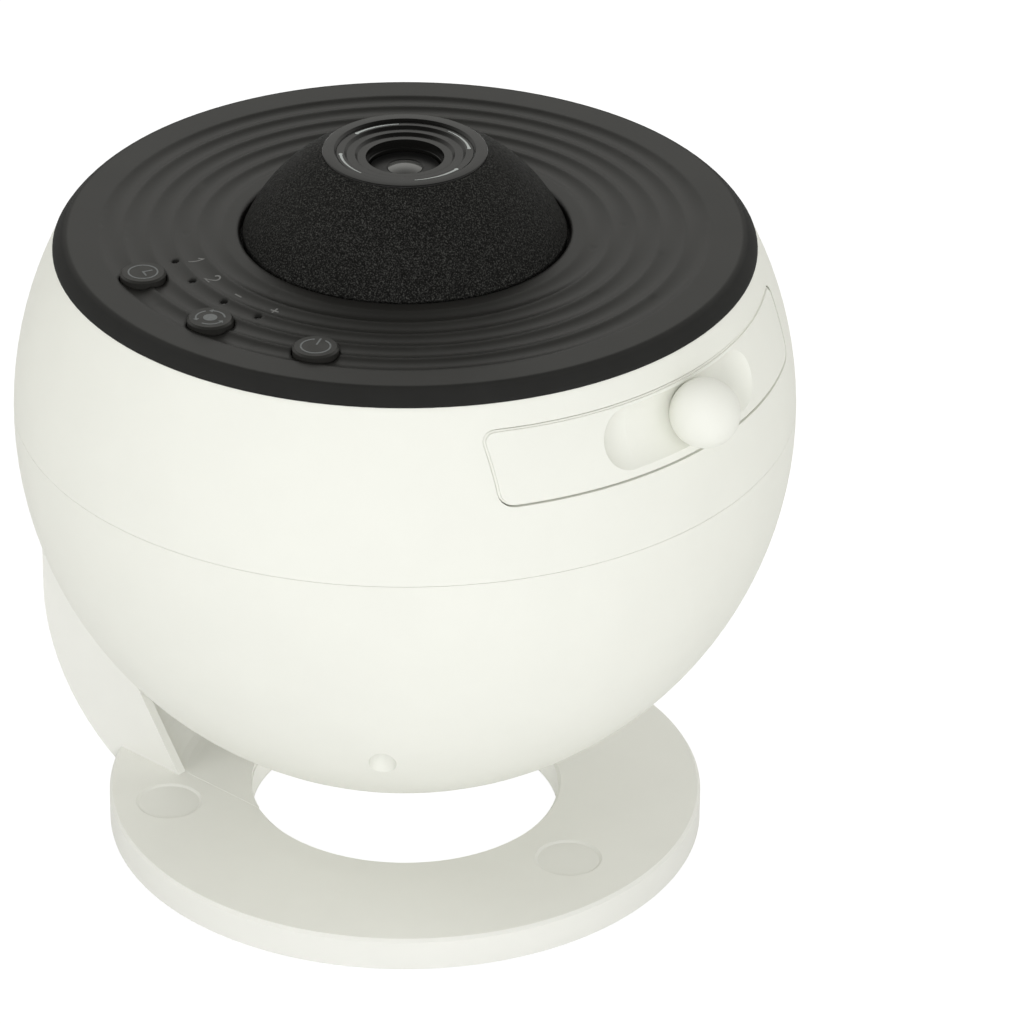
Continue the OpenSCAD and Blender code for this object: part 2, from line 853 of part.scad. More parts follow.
module lamp_led() {
    color("gold")
        union() {
            block([-3.5, 3.5], [-3.5, 3.5], [lamp_z, lamp_z + 0.8]);
            intersection() {
                translate([0, 0, lamp_z + 0.6]) sphere(r = 2.6);
                block([-5, 5], [-5, 5], [lamp_z + 0.4, 90]);
            }
        }
}

module heat_sink() {
    base_z = lamp_z - 4.6;
    fin_pitch = 5;
    fin_t = 1.5;
    color("silver")
        difference() {
            union() {
                rod([0, 0], 23, base_z, lamp_z - 1.6);
                intersection() {
                    for (i = [-4:3])
                        translate([0, fin_pitch * (i + 0.5), 0])
                            block([-30, 30], [-fin_t / 2, fin_t / 2], [60, base_z + eps]);
                    rod([0, 0], 22.5, 60, 90);
                }
            }
            for (s = [-1, 1]) rod([s * lamp_screw_x, 0], 1.1, 70, 90);
        }
}

module lamp_screws() {
    color("silver")
        for (s = [-1, 1]) screw_up([s * lamp_screw_x, 0], 1.6, 1.5, lamp_z - 4.6, 1, lamp_z + 2.4);
}

// Board under the buttons: a sector of a ring, notched for the shell's posts
module control_board() {
    color("darkgreen")
        difference() {
            rotate([0, 0, -125])
                rotate_extrude(angle = 70)
                    translate([46, board_z])
                        square([15, board_t]);
            for (p = board_screw_places) rod(p, 1.2, 120, 140);
            for (p = post_places) rod(p, 4.5, 120, 140);
        }
}

module tact_switches() {
    half_w = 2.6;
    case_top = board_z + 3.8;
    color("black")
        for (a = button_angles)
            rotate([0, 0, a])
                union() {
                    block([button_place_r - half_w, button_place_r + half_w], [-half_w, half_w],
                        [board_z + board_t, case_top]);
                    rod([button_place_r, 0], 1.7, case_top - eps, plate_under - 1 - button_travel - 0.1);
                }
}

module light_guides() {
    color("lightgray")
        for (a = guide_angles) {
            rod(polar(guide_place_r, a), 0.7, board_z + 2, plate_top - 1.1);
            rod(polar(guide_place_r, a), 1.4, board_z + board_t, board_z + 4);
        }
}

module driver_board() {
    top = driver_z + board_t;
    color("darkgreen")
        difference() {
            union() {
                block([-20, 20], [-16, 16], [driver_z, top]);
                block([-6, 4], [-5, 5], [top - eps, top + 1.6]);
                rod([5, 10.5], 3.5, top - eps, top + 8.4);
                rod([13, -4], 2.5, top - eps, top + 5.4);
                block([-18, -10], [-4, 4], [top - eps, top + 3.4]);
            }
            for (p = driver_screw_places) rod(p, 1.1, 30, 60);
        }
}

module inlet_board() {
    color("darkgreen")
        difference() {
            block([-9, 9], [46, 57.5], [inlet_board_top - 1.2, inlet_board_top]);
            for (p = inlet_screw_places) rod(p, 0.8, 40, 60);
        }
}

module board_screws() {
    color("silver") {
        for (p = board_screw_places) screw_up(p, 1.9, 1.3, board_z, 0.9, plate_under + 1.2);
        for (p = driver_screw_places) screw_down(p, 1.9, 1.3, driver_z + board_t, 0.85, 34.5);
        for (p = inlet_screw_places) screw_down(p, 1.4, 1, inlet_board_top, 0.65, inlet_z - 6.6);
    }
}

module power_inlet() {
    color("silver")
        difference() {
            translate([0, inlet_y - 1.2, inlet_z])
                rotate([90, 0, 0])
                    linear_extrude(height = 8) polygon(rounded(9, 3.4, 1.5));
            translate([0, inlet_y, inlet_z])
                rotate([90, 0, 0])
                    linear_extrude(height = 7.5)
                        difference() {
                            polygon(rounded(8.4, 2.8, 1.3));
                            square([6.7, 0.7], center = true);
                        }
        }
}

// ---- focus ring and lens ----

// Points on the dome's flank, from the foot up
function flank(inset) =
    bowed([dome_r - inset, dome_foot_z], [bezel_r + 0.1 - inset, dome_top_z], dome_bulge, 12);

module focus_dome() {
    outer = concat([[30, 134.1], [36, 134.1], [36, 135.8], [dome_r, 135.8]], flank(0));
    inner = [for (i = [12:-1:0]) flank(2.6)[i] - [0, 1.4]];
    section = concat(outer, [[sleeve_r + 0.03, dome_top_z], [sleeve_r + 0.03, 146], [15.5, 146], [16, 150]],
        [for (i = [1:9]) inner[i]], [[30, 136.5]]);
    color("dimgray") rotate_extrude() polygon(section);
}

module lens_bezel() {
    edge = 0.35;
    section = concat([[barrel_r + run_gap, 134], [sleeve_r, 134], [sleeve_r, dome_top_z]],
        [[bezel_r, dome_top_z]], arc([bezel_r - edge, bezel_top - edge], edge, 0, 90, 3),
        [[13.5, bezel_top], [13.5, bezel_top - 0.9], [11.6, bezel_top - 0.9], [11.6, bezel_top - 1.8],
        [9.7, bezel_top - 1.8], [9.7, bezel_top - 2.9], [7.8, bezel_top - 2.9], [7.8, bezel_top - 4.2],
        [7.2, bezel_top - 4.2], [7.2, bezel_under], [barrel_r + run_gap, bezel_under]]);
    color("dimgray") rotate_extrude() polygon(section);
}

module lens_barrel() {
    seat_r = lens_r + 0.05;
    section = [[seat_r, barrel_z0], [seat_r, rear_lens_z], [stop_r, rear_lens_z], [stop_r, front_lens_z],
        [seat_r, front_lens_z], [seat_r, barrel_z1], [barrel_r, barrel_z1], [barrel_r, barrel_z0]];
    color("black")
        union() {
            rotate_extrude() polygon(section);
            for (a = [0, 180])
                rotate([0, 0, a]) block([12, 14], [-key_w / 2, key_w / 2], [barrel_z0, 130]);
        }
}

module front_lens() {
    color("lightcyan") lens(lens_r, 8.4, lens_edge, front_lens_rise, front_lens_z);
}

module rear_lens() {
    color("lightcyan")
        translate([0, 0, 2 * rear_lens_z])
            mirror([0, 0, 1])
                lens(lens_r, 8.4, lens_edge, 2.2, rear_lens_z);
}

module lens_rings() {
    color("black")
        for (z = [front_lens_z + lens_edge, rear_lens_z - lens_edge - lens_ring_h])
            tube(lens_r, stop_r, z, z + lens_ring_h);
}

// ---- buttons ----

module button(i) {
    a = button_angles[i];
    foot = plate_under - 1;
    top = plate_top + 1.1;
    color("dimgray")
        translate([button_place_r * cos(a), button_place_r * sin(a), 0])
            rotate_extrude()
                polygon([[0, foot], [button_flange_r, foot], [button_flange_r, foot + 0.9],
                    [button_r, foot + 0.9], [button_r, top - 0.4], [button_r - 0.4, top], [0, top]]);
}

module timer_button() {
    button(0);
}

module mode_button() {
    button(1);
}

module power_button() {
    button(2);
}

// ---- drawer ----

// A frame whose X axis points out through the knob
module knob_frame() {
    translate([0, 0, body_z]) rotate([0, -scoop_tilt, 0]) children();
}

// A trough swept round the body's vertical axis, with round ends
module scoop(grow) {
    place_r = scoop_place_r * cos(scoop_tilt);
    place_z = body_z + scoop_place_r * sin(scoop_tilt);
    rotate([0, 0, -scoop_half_a])
        rotate_extrude(angle = 2 * scoop_half_a) translate([place_r, place_z]) circle(r = scoop_r + grow);
    for (s = [-1, 1])
        rotate([0, 0, s * scoop_half_a]) translate([place_r, 0, place_z]) sphere(r = scoop_r + grow + 0.05);
}

// A round bar along the knob's axis, between two distances from the body's middle
module knob_bar(r, r0, r1) {
    knob_frame() rotate([0, 90, 0]) translate([0, 0, r0]) cylinder(r = r, h = r1 - r0);
}

// The knob, or the hollow in the scoop's floor that it sits in
module knob_ball(grow) {
    knob_frame() translate([knob_place_r, 0, 0]) sphere(r = knob_r + grow);
}

module drawer_front() {
    color("whitesmoke")
        difference() {
            intersection() {
                // the face stands a little proud of a narrow step along its edge
                union() {
                    intersection() {
                        drawer_prism(0);
                        ball(body_r - drawer_edge);
                    }
                    intersection() {
                        drawer_prism(-drawer_edge);
                        ball(body_r);
                    }
                }
                union() {
                    difference() {
                        ball(body_r + 1);
                        ball(body_r - shell_t);
                    }
                    scoop(2);
                    knob_bar(knob_boss_r, knob_boss_in, 76.5);
                    intersection() {
                        for (s = [-1, 1])
                            block([58, 73], [s * tray_screw_y - 4, s * tray_screw_y + 4],
                                [tray_z + tray_t, 125]);
                        ball(body_r - 1);
                    }
                }
            }
            scoop(0);
            knob_ball(knob_gap);
            knob_bar(1.6, 60, 90);
            for (s = [-1, 1]) rod([tray_screw_x, s * tray_screw_y], 1.1, 110, 123);
        }
}

module drawer_tray() {
    edge = 66;
    color("ivory")
        difference() {
            intersection() {
                union() {
                    block([-38, edge], [-runner_y1, runner_y1], [tray_z, tray_z + tray_t]);
                    block([-60, 52], [runner_y0, runner_y1], [tray_z, runner_top]);
                    block([-60, 52], [-runner_y1, -runner_y0], [tray_z, runner_top]);
                    tube(19, 17, tray_z + tray_t - eps, tray_z + tray_t + 0.25);
                }
                ball(body_r - shell_t - 0.1);
            }
            rod([0, 0], hub_r + run_gap, 100, 130);
            block([-70, -33.5], [-7, 7], [100, 118.1]);
            for (s = [-1, 1])
                translate([tray_screw_x, s * tray_screw_y, tray_z - eps])
                    cylinder(r1 = 2.3, r2 = 1.2, h = tray_t + 2 * eps);
            // finger cut-outs beside the disc
            for (s = [-1, 1]) rod([46, s * 20], 6, 100, 119);
        }
}

module drawer_knob() {
    color("whitesmoke")
        difference() {
            knob_ball(0);
            knob_bar(1.3, 70, knob_place_r + 0.7);
        }
}

module knob_screw() {
    color("silver")
        union() {
            knob_bar(2.6, knob_boss_in - 1.8, knob_boss_in);
            knob_bar(1.25, knob_boss_in - eps, knob_place_r + 0.2);
        }
}

module tray_screws() {
    color("silver")
        for (s = [-1, 1]) {
            translate([tray_screw_x, s * tray_screw_y, tray_z]) cylinder(r1 = 2.2, r2 = 1.05, h = 1.8);
            rod([tray_screw_x, s * tray_screw_y], 1.05, tray_z + 1.7, 122);
        }
}

// ---- picture disc and drive ----

// Gear outline: each tooth is a root, a flank and a tip, as shares of the tooth angle
function gear(n, root, tip, share_root, share_tip, turn = 0) =
    [for (i = [0:n - 1], p = [[root, -share_root], [tip, -share_tip], [tip, share_tip], [root, share_root]])
        polar(p[0], 360 / n * (i + p[1]) + turn)];

module picture_disc() {
    color("aliceblue")
        difference() {
            union() {
                translate([0, 0, disc_z])
                    linear_extrude(height = disc_t)
                        polygon(gear(disc_teeth, disc_pitch_r - 0.8, disc_pitch_r + 0.6, 0.36, 0.12));
                rod([0, 0], hub_r, tray_z + 0.5, disc_z + eps);
            }
            rod([0, 0], film_r - 0.8, 100, 130);
            rod([0, 0], film_r + 0.1, disc_z + disc_t - 0.9, 130);
            rod([0, 20], 1.2, 100, 130);
            rod([0, -26], 1.2, 100, 130);
        }
}

module picture_film() {
    z = disc_z + disc_t - 0.9;
    color("black") rod([0, 0], film_r, z, z + 0.3);
}

module film_ring() {
    z = disc_z + disc_t - 0.6;
    color("aliceblue")
        union() {
            tube(film_r + 0.05, film_r - 1.2, z, z + 1.4);
            tube(film_r + 2, film_r - 1.2, disc_z + disc_t, disc_z + disc_t + 0.8);
        }
}

module drive_pinion() {
    color("white")
        union() {
            translate([pinion_x, 0, tray_z + 2.2])
                linear_extrude(height = 2.2)
                    polygon(gear(pinion_teeth, pinion_pitch_r - 0.85, pinion_pitch_r + 0.55, 0.34, 0.1, 15));
            rod([pinion_x, 0], 1.5, chassis_z - 3.8, tray_z + 5);
            rod([pinion_x, 0], 2.4, chassis_z + 2, tray_z + 2.3);
        }
}

base_ring();
base_weight();
base_bottom_plate();
base_screws();
foot_pads();
stand_arm();
arm_cover();
arm_screws();
cover_screws();
pivot_shaft();
friction_washer();
wave_washer();
pivot_nut();
pivot_cap();
lower_shell();
upper_shell();
shell_screws();
pivot_bush();
top_plate();
plate_screws();
dome_retainer();
retainer_screws();
chassis();
chassis_screws();
drawer_rails();
lens_guide();
gear_motor();
lamp_tube();
condenser_lens_lower();
condenser_lens_upper();
condenser_spacers();
lamp_board();
lamp_led();
heat_sink();
lamp_screws();
control_board();
tact_switches();
light_guides();
driver_board();
inlet_board();
board_screws();
power_inlet();
focus_dome();
lens_bezel();
lens_barrel();
front_lens();
rear_lens();
lens_rings();
timer_button();
mode_button();
power_button();
drawer_front();
drawer_tray();
drawer_knob();
knob_screw();
tray_screws();
picture_disc();
picture_film();
film_ring();
drive_pinion();
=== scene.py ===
"""Looks of the planetarium projector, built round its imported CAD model.

Metres and +Z up, as in the model. Shapes are written in millimetres and scaled by MM.
"""

import json
import math

import bmesh
import bpy
from mathutils import Matrix, Vector


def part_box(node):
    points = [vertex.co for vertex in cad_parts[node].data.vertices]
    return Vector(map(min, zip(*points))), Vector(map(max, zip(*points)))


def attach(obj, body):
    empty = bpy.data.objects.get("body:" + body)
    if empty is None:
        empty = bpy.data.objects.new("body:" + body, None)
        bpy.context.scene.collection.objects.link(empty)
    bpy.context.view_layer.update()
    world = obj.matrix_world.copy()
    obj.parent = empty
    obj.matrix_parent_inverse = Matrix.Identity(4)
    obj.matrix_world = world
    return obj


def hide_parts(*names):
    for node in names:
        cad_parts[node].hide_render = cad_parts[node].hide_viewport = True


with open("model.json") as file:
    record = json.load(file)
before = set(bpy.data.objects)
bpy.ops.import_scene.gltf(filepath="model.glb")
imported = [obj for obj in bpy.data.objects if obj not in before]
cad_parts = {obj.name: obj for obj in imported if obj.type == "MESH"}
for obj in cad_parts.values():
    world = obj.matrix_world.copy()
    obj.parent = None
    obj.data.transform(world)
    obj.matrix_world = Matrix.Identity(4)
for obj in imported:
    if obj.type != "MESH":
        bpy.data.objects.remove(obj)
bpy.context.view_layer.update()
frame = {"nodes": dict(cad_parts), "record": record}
MM = 0.001


def add_object(name, data):
    made = bpy.data.objects.new(name, data)
    bpy.context.scene.collection.objects.link(made)
    return made


# ---- camera: the photograph's viewpoint ----

TARGET = Vector((0.0, 0.0, 0.069545))
CAMERA_PLACE = Vector((0.7761, -0.8470, 0.7128))
SENSOR_WIDTH, FOCAL_LENGTH = 36.0, 223.57
SHIFT_X, SHIFT_Y = 0.1045, 0.0127
FARTHEST = 20.0

camera = add_object("camera", bpy.data.cameras.new("camera"))
camera.location = CAMERA_PLACE
camera.rotation_euler = (TARGET - CAMERA_PLACE).to_track_quat("-Z", "Y").to_euler()
camera.data.sensor_width = SENSOR_WIDTH
camera.data.lens = FOCAL_LENGTH
camera.data.shift_x = SHIFT_X
camera.data.shift_y = SHIFT_Y
camera.data.clip_end = FARTHEST
bpy.context.scene.camera = camera
bpy.context.scene.view_settings.view_transform = "Standard"


# ---- materials ----

# The colour sockets of Blender's Mix node
COLOUR_A, COLOUR_B, COLOUR_OUT = 6, 7, 2
# Noise seldom leaves this range
NOISE_LOW, NOISE_HIGH = 0.3, 0.7
# Sizes of the slow patches in colour and in gloss, in millimetres
MOTTLE_MM, GLOSS_MM = 14.0, 4.0


class Graph:
    """A node tree, with short ways to add and join nodes."""

    def __init__(self, tree):
        self.tree = tree

    def feed(self, socket, value):
        """Joins an output to the socket, or gives the socket a value of its own."""
        if isinstance(value, bpy.types.NodeSocket):
            self.tree.links.new(value, socket)
        else:
            socket.default_value = value

    def add(self, kind, **settings):
        """Each setting is one of the node's properties or else an input, with _ for a space."""
        node = self.tree.nodes.new(kind)
        for key, value in settings.items():
            if hasattr(node, key):
                setattr(node, key, value)
            else:
                self.feed(node.inputs[key.replace("_", " ")], value)
        return node

    def maths(self, operation, *values):
        node = self.add("ShaderNodeMath", operation=operation)
        for socket, value in zip(node.inputs, values):
            self.feed(socket, value)
        return node.outputs[0]

    def remap(self, value, low, high, low_in=NOISE_LOW, high_in=NOISE_HIGH, easing="LINEAR"):
        """Turns low_in to high_in into low to high, and stays within those two."""
        node = self.add("ShaderNodeMapRange", interpolation_type=easing, Value=value)
        ends = {"From Min": low_in, "From Max": high_in, "To Min": low, "To Max": high}
        for key, end in ends.items():
            self.feed(node.inputs[key], end)
        return node.outputs["Result"]

    def blend(self, share, first, second):
        """A colour between the first and the second."""
        node = self.add("ShaderNodeMix", data_type="RGBA", Factor=share)
        node.inputs[COLOUR_A].default_value = (*first, 1.0)
        node.inputs[COLOUR_B].default_value = (*second, 1.0)
        return node.outputs[COLOUR_OUT]


class Surface(Graph):
    """A material whose patterns follow the object's own coordinates."""

    def __init__(self, name):
        self.material = bpy.data.materials.new(name)
        self.material.use_nodes = True
        super().__init__(self.material.node_tree)
        self.shader = self.tree.nodes["Principled BSDF"]
        self.coords = self.add("ShaderNodeTexCoord").outputs["Object"]

    def texture(self, kind, size_mm, **settings):
        return self.add(kind, Vector=self.coords, Scale=1.0 / (size_mm * MM), **settings)

    def noise(self, size_mm, detail=2.0, roughness=0.5):
        node = self.texture("ShaderNodeTexNoise", size_mm, Detail=detail, Roughness=roughness)
        return node.outputs["Fac"]

    def tint(self, value, dark, light, low_in=NOISE_LOW, high_in=NOISE_HIGH):
        share = self.remap(value, 0.0, 1.0, low_in, high_in)
        self.link("Base Color", self.blend(share, dark, light))

    def link(self, input_name, output):
        self.feed(self.shader.inputs[input_name], output)

    def vary_roughness(self, value, roughness, less, more):
        self.link("Roughness", self.remap(value, roughness - less, roughness + more))

    def bump(self, value, depth_mm, under=None):
        """Relief of this depth, on top of the relief under it."""
        node = self.add("ShaderNodeBump", Height=value, Strength=1.0, Distance=depth_mm * MM)
        if under:
            self.feed(node.inputs["Normal"], under)
        self.link("Normal", node.outputs["Normal"])
        return node.outputs["Normal"]

    def set(self, **values):
        for key, value in values.items():
            self.shader.inputs[key.replace("_", " ")].default_value = value


def scaled(colour, factor):
    return tuple(min(1.0, channel * factor) for channel in colour)


def plastic(name, colour, roughness, grain_mm=0.35, depth_mm=0.006, mottle=0.03, gloss=0.5):
    """Moulded plastic: fine spark-eroded grain, slow mottling in colour and roughness."""
    n = Surface(name)
    mottling = n.noise(MOTTLE_MM, detail=3.0)
    n.tint(mottling, scaled(colour, 1.0 - mottle), scaled(colour, 1.0 + mottle))
    n.vary_roughness(n.noise(GLOSS_MM), roughness, 0.04, 0.04)
    n.bump(n.noise(grain_mm, roughness=0.6), depth_mm)
    n.set(Specular_IOR_Level=gloss)
    return n.material


def rippled_plate(name, colour, edge_colour, roughness, edge_roughness, edge_r):
    """The top plate: satin on its flat, and matt on the bevel outside edge_r millimetres."""
    fade_in, fade_out, crease_mm = 0.6, 0.8, 1.1
    n = Surface(name)
    flat = n.add("ShaderNodeVectorMath", operation="MULTIPLY", Vector=n.coords)
    flat.inputs[1].default_value = (1.0, 1.0, 0.0)
    radius = n.add("ShaderNodeVectorMath", operation="LENGTH", Vector=flat.outputs["Vector"])
    fade_start, fade_end = (edge_r - fade_in) * MM, (edge_r + fade_out) * MM
    outside = n.remap(radius.outputs["Value"], 0.0, 1.0, fade_start, fade_end)
    mottled = n.add(
        "ShaderNodeVectorMath",
        operation="SCALE",
        Vector=n.blend(outside, colour, edge_colour),
        Scale=n.remap(n.noise(MOTTLE_MM, detail=3.0), 0.9, 1.1),
    )
    n.link("Base Color", mottled.outputs["Vector"])
    n.link("Roughness", n.remap(outside, roughness, edge_roughness, 0.0, 1.0))
    soft_crease = n.add("ShaderNodeBevel", samples=6, Radius=crease_mm * MM)
    n.bump(n.noise(0.3, roughness=0.6), 0.004, under=soft_crease.outputs["Normal"])
    n.set(Specular_IOR_Level=0.4)
    return n.material


def metal(name, colour, roughness, grain_mm=0.12, depth_mm=0.003):
    """Plated or drawn metal, with a fine grain and patches of different gloss."""
    n = Surface(name)
    n.tint(n.noise(5.0, detail=4.0), scaled(colour, 0.86), colour)
    n.vary_roughness(n.noise(1.5, detail=4.0), roughness, 0.08, 0.1)
    n.bump(n.noise(grain_mm, detail=3.0), depth_mm)
    n.set(Metallic=1.0)
    return n.material


def clear(name, colour, roughness, ior):
    """Clear glass or plastic, with faint ripples of moulding or polishing."""
    n = Surface(name)
    n.tint(n.noise(20.0), scaled(colour, 0.98), colour)
    n.bump(n.noise(6.0), 0.004)
    n.set(Transmission_Weight=1.0, Roughness=roughness, IOR=ior)
    return n.material


def grained(name, colour, painted_glint_colour, roughness):
    """Leather grain: small raised cells on a slower unevenness. Lighter specks here and there in
    the colour are painted glints of the grain's tops.
    """
    n = Surface(name)
    cells = n.texture("ShaderNodeTexVoronoi", 0.5, feature="SMOOTH_F1", Smoothness=0.6)
    # Lighter specks in the colour: painted highlights that stand in for light off the grain's tops
    n.tint(n.noise(0.3, roughness=0.7), colour, painted_glint_colour, 0.48, 0.74)
    n.vary_roughness(n.noise(0.5, detail=3.0), roughness, 0.1, 0.1)
    slow = n.bump(n.noise(0.9), 0.05)
    n.bump(cells.outputs["Distance"], -0.12, under=slow)
    n.set(Specular_IOR_Level=0.1)
    return n.material


def board(name, colour):
    """Circuit board lacquer: copper tracks show as a lighter, slightly raised pattern."""
    n = Surface(name)
    layout = n.texture("ShaderNodeTexBrick", 3.1, Mortar_Size=0.06)
    layout.inputs["Brick Width"].default_value = 0.8
    layout.inputs["Row Height"].default_value = 0.35
    tracks = layout.outputs["Fac"]
    n.tint(tracks, colour, scaled(colour, 1.7), 0.0, 1.0)
    n.bump(tracks, 0.03)
    n.set(Roughness=0.35)
    return n.material


def film(name, clear_spot, black):
    """Black photographic film with a scatter of clear stars."""
    n = Surface(name)
    stars = n.texture("ShaderNodeTexVoronoi", 0.8, feature="F1")
    n.tint(stars.outputs["Distance"], clear_spot, black, 0.04, 0.1)
    n.set(Roughness=0.18)
    return n.material


def printed(name, colour):
    n = Surface(name)
    n.tint(n.noise(0.35, detail=3.0), scaled(colour, 0.8), colour)
    n.bump(n.noise(0.2), 0.002)
    n.set(Roughness=0.5)
    return n.material


WHITE, STAND_WHITE, SEAT_WHITE_PAINTED_SHADE = (0.86, 0.865, 0.80), (0.855, 0.855, 0.808), (0.825, 0.825, 0.78)
materials = {
    # plastic: roughness, size and depth of the grain in millimetres, mottling, gloss
    "white_shell": plastic("white_shell", WHITE, 0.48, 0.5, 0.003, 0.008, 0.4),
    "white_stand": plastic("white_stand", STAND_WHITE, 0.42, 0.5, 0.004, 0.01),
    # The pad seats' white is a little darker than the stand's: painted shade in their shallow
    # recesses
    "pad_seat": plastic("pad_seat", SEAT_WHITE_PAINTED_SHADE, 0.42, 0.5, 0.004, 0.01),
    "black_plate": plastic("black_plate", (0.0215, 0.021, 0.019), 0.38, 0.3, 0.003, 0.1, 0.4),
    "black_smooth": plastic("black_smooth", (0.0195, 0.019, 0.0175), 0.4, 0.3, 0.003, 0.1, 0.3),
    "bezel_black": plastic("bezel_black", (0.0062, 0.006, 0.0055), 0.18, 0.5, 0.001, 0.1, 0.39),
    "mount_black": plastic("mount_black", (0.006, 0.006, 0.0058), 0.34, 0.5, 0.002, 0.1, 0.35),
    "black_inner": plastic("black_inner", (0.012, 0.012, 0.012), 0.5, 0.4, 0.006, 0.15),
    "grey_plastic": plastic("grey_plastic", (0.35, 0.35, 0.35), 0.3, 0.4, 0.003, 0.04),
    "natural_plastic": plastic("natural_plastic", (0.72, 0.69, 0.58), 0.4, 0.5, 0.004, 0.04),
    "rubber_pad": plastic("rubber_pad", (0.10, 0.10, 0.10), 0.8, 0.25, 0.02, 0.15),
    "fibre": plastic("fibre", (0.05, 0.035, 0.025), 0.85, 0.2, 0.03, 0.3),
    "board_white": plastic("board_white", (0.8, 0.8, 0.77), 0.35, 0.6, 0.004, 0.03),
    "lamp_yellow": plastic("lamp_yellow", (0.85, 0.6, 0.06), 0.2, 0.3, 0.003, 0.06),
    "front_glass": plastic("front_glass", (0.095, 0.095, 0.092), 0.05, 0.8, 0.0006, 0.2, 1.0),
    # metal: roughness, size and depth of the grain in millimetres
    "steel": metal("steel", (0.62, 0.62, 0.63), 0.3),
    "weight_steel": metal("weight_steel", (0.22, 0.23, 0.24), 0.5, 0.5, 0.02),
    "finned_aluminium": metal("finned_aluminium", (0.75, 0.76, 0.78), 0.35),
    # clear: roughness, index of refraction
    "optical_glass": clear("optical_glass", (0.96, 0.98, 0.99), 0.0, 1.52),
    "clear_plastic": clear("clear_plastic", (0.95, 0.97, 0.98), 0.04, 1.49),
    "top_plate": rippled_plate(
        "top_plate",
        colour=(0.016, 0.0156, 0.014),
        edge_colour=(0.017, 0.017, 0.016),
        roughness=0.38,
        edge_roughness=0.82,
        edge_r=68.5,
    ),
    # The dome's second colour gives its lighter specks, which are painted glints
    "black_grain": grained("black_grain", (0.0055, 0.0055, 0.0051), (0.075, 0.075, 0.07), 0.62),
    "board": board("board", (0.012, 0.10, 0.04)),
    "film": film("film", (0.75, 0.78, 0.85), (0.004, 0.004, 0.007)),
    "grey_ink": printed("grey_ink", (0.17, 0.18, 0.18)),
    "light_grey_ink": printed("light_grey_ink", (0.52, 0.55, 0.54)),
    "label_ink": printed("label_ink", (0.20, 0.20, 0.195)),
}
material_of = {part["node"]: part["material_slot"] for part in frame["record"]["subparts"]}
material_of["top_plate"] = "top_plate"
for node_name, node in frame["nodes"].items():
    for material_slot in node.material_slots:
        material_slot.material = materials[material_of[node_name]]


# ---- drawing in a plane, in millimetres ----


def turned(radius, degrees, centre=(0.0, 0.0)):
    a = math.radians(degrees)
    return (centre[0] + radius * math.cos(a), centre[1] + radius * math.sin(a))


def sweep(radius, start, end, steps, centre=(0.0, 0.0)):
    return [turned(radius, start + (end - start) * i / steps, centre) for i in range(steps + 1)]


def hoop(radius, steps):
    return sweep(radius, 0, 360, steps)[:-1]


def bar(x0, x1, y0, y1):
    return [(x0, y0), (x1, y0), (x1, y1), (x0, y1)]


def stroke(path, width):
    """Outline of a line of even width along a path, with mitred corners."""
    sharpest = 0.5
    points = [Vector(p) for p in path]
    left, right = [], []
    for i, here in enumerate(points):
        into = (here - points[i - 1]).normalized() if i else None
        out = (points[i + 1] - here).normalized() if i < len(points) - 1 else None
        along = ((into or out) + (out or into)).normalized()
        across = Vector((-along.y, along.x))
        reach = width / 2 / max(sharpest, along.dot(out or into))
        left.append(tuple(here + across * reach))
        right.append(tuple(here - across * reach))
    return left + right[::-1]


def bowed(start, end, bulge, steps):
    """Points from start to end, bowed outward by bulge at the middle."""
    way = Vector(end) - Vector(start)
    out = Vector((way.y, -way.x)).normalized()
    shares = [i / steps for i in range(steps + 1)]
    return [tuple(Vector(start) + way * t + out * 4 * bulge * t * (1 - t)) for t in shares]


def rounded(radius, height, edge, steps=4):
    """The outer top corner of a rim, as a quarter circle."""
    return sweep(edge, 0, 90, steps, (radius - edge, height - edge))


# ---- making pieces ----


def add_piece(name, shape, material, body):
    mesh = bpy.data.meshes.new(name)
    shape.to_mesh(mesh)
    shape.free()
    mesh.materials.append(materials[material])
    piece = add_object(name, mesh)
    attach(piece, body)
    return piece


def cut_across(shape, spacing):
    """Cuts the faces along lines of even y."""
    low = min(v.co.y for v in shape.verts)
    high = max(v.co.y for v in shape.verts)
    # No cut falls on the last edge, where it would leave faces without any area
    for i in range(1, math.ceil((high - low) / spacing - 0.01)):
        everything = shape.verts[:] + shape.edges[:] + shape.faces[:]
        spot = (0, low + i * spacing, 0)
        bmesh.ops.bisect_plane(shape, geom=everything, plane_co=spot, plane_no=(0, 1, 0))


class Print:
    """Thin raised marks, drawn as closed outlines in a plane."""

    RISE = 0.03
    SUNK = 0.05

    def __init__(self, *outlines):
        self.outlines = list(outlines)
        self.rings = []

    def ring(self, radius, width, steps=64):
        self.rings.append((hoop(radius - width / 2, steps), hoop(radius + width / 2, steps)))

    def make(self, name, place, material, body, slot_name, slices=0.0):
        """place turns a point of the plane into one of the part, in millimetres. Where the surface
        below isn't flat, slices is the distance between the cuts that let the marks follow it."""
        shape = bmesh.new()
        for outline in self.outlines:
            shape.faces.new([shape.verts.new((x, y, 0.0)) for x, y in outline])
        for inner, outer in self.rings:
            near = [shape.verts.new((x, y, 0.0)) for x, y in inner]
            far = [shape.verts.new((x, y, 0.0)) for x, y in outer]
            for i in range(len(near)):
                shape.faces.new((near[i - 1], far[i - 1], far[i], near[i]))
        if slices:
            cut_across(shape, slices)
        lid = bmesh.ops.extrude_face_region(shape, geom=shape.faces[:], use_keep_orig=True)["geom"]
        raised = {v for v in lid if isinstance(v, bmesh.types.BMVert)}
        for vert in shape.verts:
            spot = Vector(place(vert.co.x, vert.co.y))
            spot.z += self.RISE if vert in raised else -self.SUNK
            vert.co = spot * MM
        bmesh.ops.recalc_face_normals(shape, faces=shape.faces)
        return add_piece(name, shape, material, body)


